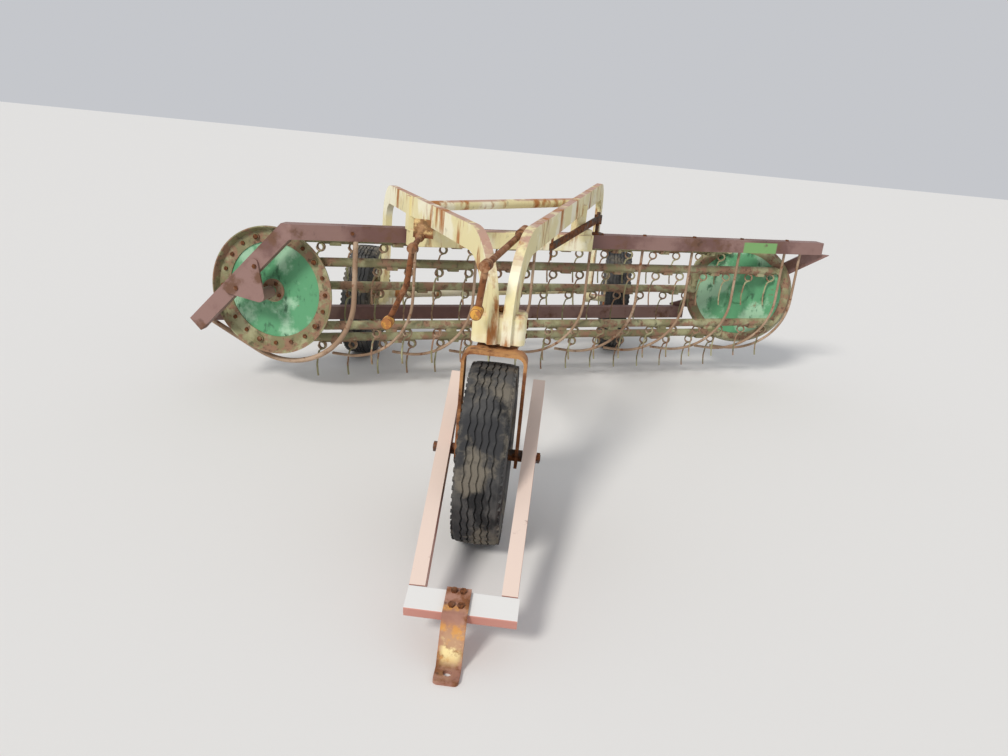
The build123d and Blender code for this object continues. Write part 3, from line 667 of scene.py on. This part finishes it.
class BoltCircle(Repeater):
    """Hexagon heads, or blocks, set round a circle."""

    def __init__(self) -> None:
        """Build the tree once."""
        super().__init__(
            "bolt_circle",
            {
                "Places": "Int", "Skip Every": "Int", "Circle Radius": "Float", "Start Angle": "Float",
                "Sides": "Int", "Head Radius": "Float", "Head Height": "Float", "Stretch": "Vector",
            },
        )
        given = self.given
        inputs = {"Vertices": given["Places"], "Radius": given["Circle Radius"]}
        circle = self.add("GeometryNodeMeshCircle", inputs)
        index = self.add("GeometryNodeInputIndex")
        number = self.add("ShaderNodeMath", {0: index.outputs[0], 1: 1.0}, operation="ADD")
        inputs = {0: number.outputs[0], 1: given["Skip Every"]}
        cycle = self.add("ShaderNodeMath", inputs, operation="MODULO")
        skipped = self.add("ShaderNodeMath", {0: cycle.outputs[0], 1: 0.5}, operation="LESS_THAN")
        inputs = {"Geometry": circle.outputs["Mesh"], "Selection": skipped.outputs[0]}
        thin = self.add("GeometryNodeDeleteGeometry", inputs, domain="POINT")
        inputs = {"Vertices": given["Sides"], "Radius": given["Head Radius"], "Depth": given["Head Height"]}
        head = self.add("GeometryNodeMeshCylinder", inputs)
        inputs = {"Vector": self.add("GeometryNodeInputPosition").outputs[0]}
        outward = self.add("FunctionNodeAlignEulerToVector", inputs, axis="X", pivot_axis="Z")
        inputs = {
            "Points": thin.outputs["Geometry"],
            "Instance": head.outputs["Mesh"],
            "Rotation": outward.outputs["Rotation"],
            "Scale": given["Stretch"],
        }
        put = self.add("GeometryNodeInstanceOnPoints", inputs)
        spun = self.add("ShaderNodeCombineXYZ", {2: given["Start Angle"]})
        inputs = {"Geometry": put.outputs["Instances"], "Rotation": spun.outputs[0]}
        self.close(self.add("GeometryNodeTransform", inputs).outputs["Geometry"])

    def make(
        self,
        name: str,
        where: Matrix,
        places: int,
        radius: float,
        head: Head,
        finish: bpy.types.Material,
        start: float = 0.0,
        skip: int | None = None,
    ) -> bpy.types.Object:
        """Make one ring of heads.

        Args:
            name: Name of the piece.
            where: Matrix from the ring's own plane to its place.
            places: Number of places round the circle.
            radius: Radius of the circle in metres.
            head: Sizes of a head.
            finish: Material of the heads.
            start: Angle of the first place in radians.
            skip: Leave out every place whose number is a multiple of this.

        Returns:
            The piece.
        """
        values = {
            "Places": places,
            "Skip Every": places + 1 if skip is None else skip,
            "Circle Radius": radius,
            "Start Angle": start,
            "Sides": head.sides,
            "Head Radius": head.radius,
            "Head Height": head.height,
            "Stretch": head.stretch,
        }
        return self.bake(name, values, finish, where)


class BoltRow(Repeater):
    """Hexagon heads set in a straight row."""

    def __init__(self) -> None:
        """Build the tree once."""
        super().__init__(
            "bolt_row",
            {
                "Heads": "Int", "First Place": "Vector", "Step": "Vector", "Turn": "Vector",
                "Sides": "Int", "Head Radius": "Float", "Head Height": "Float",
            },
        )
        given = self.given
        inputs = {"Count": given["Heads"], "Start Location": given["First Place"], "Offset": given["Step"]}
        row = self.add("GeometryNodeMeshLine", inputs)
        inputs = {"Vertices": given["Sides"], "Radius": given["Head Radius"], "Depth": given["Head Height"]}
        head = self.add("GeometryNodeMeshCylinder", inputs)
        inputs = {
            "Points": row.outputs["Mesh"], "Instance": head.outputs["Mesh"], "Rotation": given["Turn"]
        }
        self.close(self.add("GeometryNodeInstanceOnPoints", inputs).outputs["Instances"])

    def make(
        self, name: str, heads: int, first: Vector, step: Vector, axis: Vector, head: Head,
        finish: bpy.types.Material,
    ) -> bpy.types.Object:
        """Make one row of heads.

        Args:
            name: Name of the piece.
            heads: Number of heads.
            first: Centre of the first head, halfway up it.
            step: Vector from each head to the next.
            axis: Direction of every head's axis.
            head: Sizes of a head.
            finish: Material of the heads.

        Returns:
            The piece.
        """
        values = {
            "Heads": heads,
            "First Place": tuple(first),
            "Step": tuple(step),
            "Turn": tuple(axis.to_track_quat("Z", "Y").to_euler()),
            "Sides": head.sides,
            "Head Radius": head.radius,
            "Head Height": head.height,
        }
        return self.bake(name, values, finish)


@dataclass(frozen=True)
class Coil:
    """Windings of a wire coil, and its sizes in metres."""

    windings: float
    radius: float
    length: float
    wire_radius: float


TINE_COIL = Coil(windings=2.25, radius=0.022, length=0.021, wire_radius=0.0042)


class CoilRow(Repeater):
    """Round wire coils set in a straight row."""

    def __init__(self) -> None:
        """Build the tree once."""
        super().__init__(
            "coil_row",
            {
                "Coils": "Int", "First Place": "Vector", "Step": "Vector", "Turn": "Vector",
                "Windings": "Float", "Coil Radius": "Float", "Coil Length": "Float",
                "Wire Radius": "Float",
            },
        )
        given = self.given
        inputs = {"Count": given["Coils"], "Start Location": given["First Place"], "Offset": given["Step"]}
        row = self.add("GeometryNodeMeshLine", inputs)
        inputs = {
            "Resolution": 18,
            "Rotations": given["Windings"],
            "Start Radius": given["Coil Radius"],
            "End Radius": given["Coil Radius"],
            "Height": given["Coil Length"],
        }
        spiral = self.add("GeometryNodeCurveSpiral", inputs)
        section = self.add(
            "GeometryNodeCurvePrimitiveCircle", {"Resolution": 8, "Radius": given["Wire Radius"]}
        )
        inputs = {
            "Curve": spiral.outputs["Curve"], "Profile Curve": section.outputs["Curve"], "Fill Caps": True
        }
        wire = self.add("GeometryNodeCurveToMesh", inputs)
        inputs = {
            "Points": row.outputs["Mesh"], "Instance": wire.outputs["Mesh"], "Rotation": given["Turn"]
        }
        self.close(self.add("GeometryNodeInstanceOnPoints", inputs).outputs["Instances"])

    def make(
        self, name: str, coils: int, first: Vector, step: Vector, axis: Vector, coil: Coil,
        finish: bpy.types.Material,
    ) -> bpy.types.Object:
        """Make one row of coils.

        Args:
            name: Name of the piece.
            coils: Number of coils.
            first: Place of the first coil's end.
            step: Vector from each coil to the next.
            axis: Direction of every coil's axis.
            coil: Sizes of a coil.
            finish: Material of the wire.

        Returns:
            The piece.
        """
        values = {
            "Coils": coils,
            "First Place": tuple(first),
            "Step": tuple(step),
            "Turn": tuple(axis.to_track_quat("Z", "Y").to_euler()),
            "Windings": coil.windings,
            "Coil Radius": coil.radius,
            "Coil Length": coil.length,
            "Wire Radius": coil.wire_radius,
        }
        return self.bake(name, values, finish)


@dataclass
class TineCoils:
    """Spring coils at the head of every tine; lengths are in metres from a bar's pivot."""

    palette: Palette
    joints: dict[str, dict]
    bars: int = 5
    coils: int = 16
    first_run: float = 0.318
    pitch: float = 0.172
    side: float = 0.006
    drop: float = 0.048

    def build(self, rows: CoilRow) -> None:
        """Build one row for each tine bar.

        Args:
            rows: Tree that repeats the coils.
        """
        steel = self.palette.get("rod_steel")
        front, spin = joint_place(self.joints, "reel_front_spin")
        rear, _ = joint_place(self.joints, "reel_rear_spin")
        up = Vector(Z_AXIS)
        along = (rear - front).normalized()
        across = spin.cross(up).normalized()
        for number in range(1, self.bars + 1):
            pivot, _ = joint_place(self.joints, f"tine_bar_{number}_swivel")
            first = pivot + along * self.first_run + across * self.side - up * self.drop
            name = f"tine_coils_{number}"
            coils = rows.make(name, self.coils, first, along * self.pitch, spin, TINE_COIL, steel)
            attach(coils, f"bar_{number}")
            LOG.info("coils %s", name)


@dataclass
class Tyre:
    """Ribbed tyre that takes the place of a plain one.

    Sizes are in metres, and the shares are parts of the width. Each corner of the sidewall is a part
    of the half width and a height above the rim; in the shoulder it is a depth below the tread.
    """

    name: str
    body: str
    centre: Vector
    width: float
    rim_radius: float = 0.1883
    outer_radius: float = 0.345
    bead_share: float = 0.36
    bead_height: float = 0.018
    sidewall: Profile = ((0.90, 0.035), (0.985, 0.062), (0.99, 0.085), (0.965, 0.112))
    shoulder: Profile = ((0.93, 0.022), (0.88, 0.010))
    tread_share: float = 0.40
    tread_inset: float = 0.0006
    crown_drop: float = 0.005
    ribs: int = 6
    groove_width: float = 0.0065
    groove_depth: float = 0.007
    zigzag: float = 0.0028
    zig_period: int = 6
    steps: int = 216
    blocks: int = 64
    block_share: float = 0.43
    block_inset: float = 0.0165

    def crown(self, across: float) -> float:
        """Give the tread's radius at a distance across it."""
        return self.outer_radius - self.crown_drop * (2 * across / self.width) ** 2 - self.tread_inset

    def tread(self) -> list[tuple[float, float, float]]:
        """Give the tread's part of the outline, with its grooves.

        Returns:
            Distance across, radius and share of the zigzag for each corner.
        """
        edge = self.width * self.tread_share
        corners = [(edge, self.crown(edge), 0.0)]
        for groove in range(1, self.ribs):
            middle = edge - 2 * edge * groove / self.ribs
            top = self.crown(middle)
            bottom = top - self.groove_depth
            near = middle + self.groove_width / 2
            far = middle - self.groove_width / 2
            corners += [(near, top, 1.0), (near, bottom, 1.0), (far, bottom, 1.0), (far, top, 1.0)]
        corners.append((-edge, self.crown(edge), 0.0))
        return corners

    def outline(self) -> list[tuple[float, float, float]]:
        """Give the closed outline of the section.

        Returns:
            Distance across, radius and share of the zigzag for each corner.
        """
        half = self.width / 2
        bead = self.width * self.bead_share
        wall = [(bead, self.rim_radius + self.bead_height, 0.0)]
        wall += [(half * share, self.rim_radius + height, 0.0) for share, height in self.sidewall]
        wall += [(half * share, self.outer_radius - depth, 0.0) for share, depth in self.shoulder]
        far_wall = [(-across, radius, share) for across, radius, share in reversed(wall)]
        beads = [(-bead, self.rim_radius, 0.0), (bead, self.rim_radius, 0.0)]
        return beads + wall + self.tread() + far_wall

    def sweep(self) -> bpy.types.Mesh:
        """Carry the outline round the axle, with a zigzag in the grooves.

        Returns:
            The mesh, in place.
        """
        corners = self.outline()
        count = len(corners)
        points = []
        faces = []
        for step in range(self.steps):
            angle = 2 * math.pi * step / self.steps
            phase = (step % self.zig_period) / self.zig_period
            sway = self.zigzag * (4 * abs(phase - 0.5) - 1)
            for across, radius, share in corners:
                x = self.centre.x + across + sway * share
                y = self.centre.y + radius * math.cos(angle)
                z = self.centre.z + radius * math.sin(angle)
                points.append((x, y, z))
            here = step * count
            there = ((step + 1) % self.steps) * count
            for row in range(count):
                after = (row + 1) % count
                faces.append((here + row, here + after, there + after, there + row))
        mesh = bpy.data.meshes.new(self.name + "_tread")
        mesh.from_pydata(points, [], faces)
        mesh.update()
        return mesh

    def build(self, palette: Palette, rings: BoltCircle) -> None:
        """Build the tyre and its shoulder blocks.

        Args:
            palette: Source of finishes.
            rings: Tree that repeats the shoulder blocks.
        """
        rubber = palette.get("tyre")
        tyre = to_object(self.name + "_tread", self.sweep(), rubber)
        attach(tyre, self.body)
        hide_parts(self.name)
        for side, label in ((-1, "left"), (1, "right")):
            middle = self.centre + Vector((side * self.width * self.block_share, 0, 0))
            blocks = rings.make(
                f"{self.name}_shoulder_{label}", basis(middle, Vector(X_AXIS)), self.blocks,
                self.outer_radius - self.block_inset, SHOULDER_BLOCK, rubber,
            )
            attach(blocks, self.body)


HUB_FLANGE = ((0.0215, 0.0), (0.062, 0.0), (0.062, 0.008), (0.058, 0.011), (0.0215, 0.011))
PIN_CAP = ((0.0135, 0.0), (0.0135, 0.005), (0.009, 0.0085))
FRONT_ROD_BOLT = (0.098, 2.252, 0.912)
FIRST_TOP_BOLT = (1.819, 2.291, 0.949)
TOP_BOLT_STEP = 0.344
PLATE_BOLT_UPPER = (-1.3308, 1.9696, 0.7159)
PLATE_BOLT_LOWER = (-1.4343, 1.9841, 0.5891)


def on_beam(place: Direction) -> Vector:
    """Give the point at distances along the basket's beam, across it and up."""
    run, side, height = place
    return Vector(BEAM_RUN) * run + Vector(BEAM_SIDE) * side + Vector(Z_AXIS) * height


@dataclass
class Fasteners:
    """Bolts, nuts, collars and caps, placed from the frame's joints and boxes.

    Lengths are in metres and angles in radians. A name that ends in out is the distance of a piece
    from a joint's point along the joint's axis.
    """

    palette: Palette
    rings: BoltCircle
    rows: BoltRow
    joints: dict[str, dict]
    ring_places: int = 20
    ring_skip: int = 4
    ring_radius: float = 0.290
    ring_start: float = math.radians(18)
    ring_out: float = 0.0115
    flange_out: float = 0.0142
    hub_places: int = 4
    hub_radius: float = 0.044
    hub_start: float = 0.5
    hub_out: float = 0.0295
    nut_places: int = 5
    nut_radius: float = 0.060
    hitch_slope: float = math.radians(17)
    hitch_gap: float = 0.003
    hitch_spread: float = 0.028
    bars: int = 5
    pin_out: float = 0.0205
    pin_steps: int = 16
    cheek_places: int = 3
    cheek_radius: float = 0.030
    grip_back: float = 0.042
    grip_cover: float = 0.0008
    grip_straight: float = 0.038
    grip_length: float = 0.0425
    grip_bevel: float = 0.004
    grip_tip: float = 0.006

    @property
    def steel(self) -> bpy.types.Material:
        """Give the finish of all bolts and nuts."""
        return self.palette.get("bolt_steel")

    def put(self, piece: bpy.types.Object, body: str, slot: str = "dark_steel") -> None:
        """Make a piece ride on a body."""
        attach(piece, body)
        LOG.info("%s on %s", piece.name, body)

    def reel(self) -> None:
        """Bolt the flared rings and the hub flanges of both discs."""
        pivot, _ = joint_place(self.joints, "tine_bar_1_swivel")
        centre, _ = joint_place(self.joints, "reel_front_spin")
        for joint, body, out in (
            ("reel_front_spin", "front_disc", -1.0),
            ("reel_rear_spin", "rear_disc", 1.0),
        ):
            middle, axis = joint_place(self.joints, joint)
            where = basis(middle + axis * out * self.ring_out, axis)
            first = where.to_3x3().inverted() @ (pivot - centre)
            start = math.atan2(first.y, first.x) + self.ring_start
            bolts = self.rings.make(
                body + "_ring_bolts", where, self.ring_places, self.ring_radius, RING_HEAD, self.steel,
                start, self.ring_skip,
            )
            self.put(bolts, body)
            collar = turned(
                body + "_flange", middle + axis * out * self.flange_out, axis * out, HUB_FLANGE,
                self.palette.get("olive_paint"),
            )
            self.put(collar, body, "olive_paint")
            hub = basis(middle + axis * out * self.hub_out, axis)
            heads = self.rings.make(
                body + "_hub_bolts", hub, self.hub_places, self.hub_radius, HUB_HEAD, self.steel,
                self.hub_start,
            )
            self.put(heads, body)

    def wheels(self) -> None:
        """Bolt every wheel's disc with a ring of nuts on its outer side."""
        for joint, body, side, out in (
            ("front_wheel_spin", "front_wheel", 1.0, 0.0160),
            ("left_wheel_spin", "left_wheel", -1.0, 0.0150),
            ("right_wheel_spin", "right_wheel", 1.0, 0.0150),
        ):
            middle, axis = joint_place(self.joints, joint)
            where = basis(middle + axis * side * out, axis)
            nuts = self.rings.make(
                body + "_nuts", where, self.nut_places, self.nut_radius, WHEEL_NUT, self.steel
            )
            self.put(nuts, body)

    def hitch(self) -> None:
        """Bolt the strap to the crossbar with two rows of two heads."""
        _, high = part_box("hitch_strap")
        along = Vector((0, math.cos(self.hitch_slope), math.sin(self.hitch_slope)))
        normal = Vector((0, -math.sin(self.hitch_slope), math.cos(self.hitch_slope)))
        edge = Vector((0, high.y, high.z)) + normal * self.hitch_gap
        spread = Vector((self.hitch_spread, 0, 0))
        for label, back in (("rear", 0.018), ("front", 0.072)):
            first = edge - along * back - spread / 2
            heads = self.rows.make(f"hitch_bolts_{label}", 2, first, spread, normal, HITCH_HEAD, self.steel)
            self.put(heads, "tongue")

    def basket(self) -> None:
        """Bolt the rods to the beam and the hub plate to the front arm."""
        run, side, up = Vector(BEAM_RUN), Vector(BEAM_SIDE), Vector(Z_AXIS)
        upper, lower = Vector(PLATE_BOLT_UPPER), Vector(PLATE_BOLT_LOWER)
        _, spin = joint_place(self.joints, "reel_front_spin")
        for name, count, first, step, axis, head in (
            ("rod_bolt_front", 1, on_beam(FRONT_ROD_BOLT), run, side, ROD_FRONT_HEAD),
            ("rod_bolts_top", 4, on_beam(FIRST_TOP_BOLT), run * TOP_BOLT_STEP, up, ROD_TOP_HEAD),
            ("hub_plate_bolts", 2, upper, lower - upper, spin, PLATE_HEAD),
        ):
            self.put(self.rows.make(name, count, first, step, axis, head, self.steel), "basket")

    def pins(self) -> None:
        """Cap both ends of every tine bar's pins."""
        front, spin = joint_place(self.joints, "reel_front_spin")
        rear, _ = joint_place(self.joints, "reel_rear_spin")
        for number in range(1, self.bars + 1):
            pivot, _ = joint_place(self.joints, f"tine_bar_{number}_swivel")
            for label, end, out in (("front", pivot, -spin), ("rear", pivot + rear - front, spin)):
                cap = turned(
                    f"pin_cap_{label}_{number}", end + out * self.pin_out, out, PIN_CAP, self.steel,
                    self.pin_steps,
                )
                self.put(cap, f"bar_{number}")

    def housing(self) -> None:
        """Set a ring of bolts on each cheek of the kingpin housing."""
        low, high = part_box("kingpin_housing")
        for label, side in (("left", -1.0), ("right", 1.0)):
            middle = Vector((side * high.x, (low.y + high.y) / 2, (low.z + high.z) / 2))
            heads = self.rings.make(
                f"cheek_bolts_{label}", basis(middle, Vector((side, 0, 0))), self.cheek_places,
                self.cheek_radius, CHEEK_HEAD, self.steel,
            )
            self.put(heads, "main_frame")

    def grips(self) -> None:
        """Cap the knobs of both cranks in worn orange paint."""
        for name, radius, outward in (
            ("crank_left", 0.024, Vector((0, -0.058, -0.003))),
            ("crank_right", 0.021, Vector((-0.002, -0.060, -0.004))),
        ):
            low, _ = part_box(name)
            outward.normalize()
            end = Vector((low.x + radius, low.y, low.z + radius))
            wide = radius + self.grip_cover
            profile = (
                (wide, 0.0), (wide, self.grip_straight),
                (radius - self.grip_bevel, self.grip_length), (self.grip_tip, self.grip_length),
            )
            cap = turned(
                name + "_grip", end - outward * self.grip_back, outward, profile,
                self.palette.get("grip_paint"),
            )
            self.put(cap, "main_frame", "rusty_steel")

    def build(self) -> None:
        """Build every group of fasteners, with the grips first."""
        self.grips()
        self.reel()
        self.wheels()
        self.hitch()
        self.basket()
        self.pins()
        self.housing()


@dataclass
class Studio:
    """Floor, lamps and the camera at the photograph's viewpoint.

    Lengths are in metres and angles in radians. The sensor is in millimetres, and the focal length
    is in the photograph's pixels.
    """

    floor_size: float = 60.0
    floor_colour: Colour = (0.78, 0.77, 0.75)
    floor_roughness: float = 0.9
    sky_colour: Colour = (0.93, 0.95, 1.0)
    sky_strength: float = 0.60
    key_colour: Colour = (1.0, 0.97, 0.92)
    key_energy: float = 2.1
    key_angle: float = math.radians(12)
    key_from: Direction = (-1.1, -2.1, 1.9)
    eye_place: Direction = (0.185, -1.929, 1.588)
    eye_pitch: float = math.radians(18.63)
    eye_roll: float = math.radians(5.427)
    eye_turn: float = math.radians(3.0)
    focal_pixels: float = 800.0
    image_width: float = 1008.0
    sensor_width: float = 36.0
    clip_end: float = 200.0

    def floor(self) -> None:
        """Lay a plain pale floor."""
        half = self.floor_size / 2
        mesh = bpy.data.meshes.new("floor")
        mesh.from_pydata(
            [(-half, -half, 0), (half, -half, 0), (half, half, 0), (-half, half, 0)], [], [(0, 1, 2, 3)]
        )
        material = bpy.data.materials.new("floor")
        material.use_nodes = True
        shader = material.node_tree.nodes["Principled BSDF"]
        shader.inputs["Base Color"].default_value = (*self.floor_colour, 1.0)
        shader.inputs["Roughness"].default_value = self.floor_roughness
        ground = to_object("floor", mesh, material)

    def lamps(self) -> None:
        """Light the machine from behind the camera's left shoulder."""
        world = bpy.data.worlds.new("studio")
        bpy.context.scene.world = world
        world.use_nodes = True
        sky = world.node_tree.nodes["Background"]
        sky.inputs["Color"].default_value = (*self.sky_colour, 1.0)
        sky.inputs["Strength"].default_value = self.sky_strength
        lamp = bpy.data.lights.new("key", "SUN")
        lamp.energy = self.key_energy
        lamp.angle = self.key_angle
        lamp.color = self.key_colour
        key = bpy.data.objects.new("key", lamp)
        key.rotation_euler = Vector(self.key_from).to_track_quat("Z", "Y").to_euler()
        bpy.context.scene.collection.objects.link(key)

    def camera(self) -> None:
        """Set the camera where the photograph was taken from."""
        lens = bpy.data.cameras.new("camera")
        lens.sensor_width = self.sensor_width
        lens.lens = self.focal_pixels / self.image_width * self.sensor_width
        lens.clip_end = self.clip_end
        eye = bpy.data.objects.new("camera", lens)
        sin_pitch, cos_pitch = math.sin(self.eye_pitch), math.cos(self.eye_pitch)
        sin_roll, cos_roll = math.sin(self.eye_roll), math.cos(self.eye_roll)
        right = Vector((cos_roll, sin_roll * sin_pitch, sin_roll * cos_pitch))
        above = Vector((-sin_roll, sin_pitch * cos_roll, cos_pitch * cos_roll))
        ahead = Vector((0, cos_pitch, -sin_pitch))
        look = Matrix((right, above, -ahead)).transposed().to_4x4()
        turn = Matrix.Rotation(self.eye_turn, 4, "Z")
        eye.matrix_world = Matrix.Translation(Vector(self.eye_place)) @ turn @ look
        bpy.context.scene.collection.objects.link(eye)
        bpy.context.scene.camera = eye

    def build(self) -> None:
        """Build the whole studio."""
        self.floor()
        self.lamps()
        self.camera()
        bpy.context.scene.view_settings.view_transform = "Standard"


def dress_nodes(frame: dict, palette: Palette) -> None:
    """Give each kept CAD node the finish of its slot, or the one that it has of its own.

    Args:
        frame: The loaded frame.
        palette: Source of finishes.
    """
    slots = {row["node"]: row["material_slot"] for row in frame["record"]["subparts"]}
    for name, node in frame["nodes"].items():
        material = palette.get(OWN_FINISH.get(name, slots[name]))
        for slot in node.material_slots:
            slot.material = material
        LOG.info("node %s in %s", name, slots[name])


def main() -> None:
    """Load the frame, dress it, build the added pieces and set the studio."""
    logging.basicConfig(level=logging.INFO, format="%(message)s")
    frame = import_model()
    palette = Palette()
    rings = BoltCircle()
    joints = {joint["name"]: joint for joint in frame["joints"]}
    dress_nodes(frame, palette)
    for name, body, width in (
        ("tyre_front", "front_wheel", 0.180),
        ("tyre_left", "left_wheel", 0.165),
        ("tyre_right", "right_wheel", 0.165),
    ):
        centre = Vector(joints[body + "_spin"]["pos_m"])
        Tyre(name, body, centre, width).build(palette, rings)
    TineCoils(palette, joints).build(CoilRow())
    Fasteners(palette, rings, BoltRow(), joints).build()
    Studio().build()


if __name__ == "__main__":
    main()
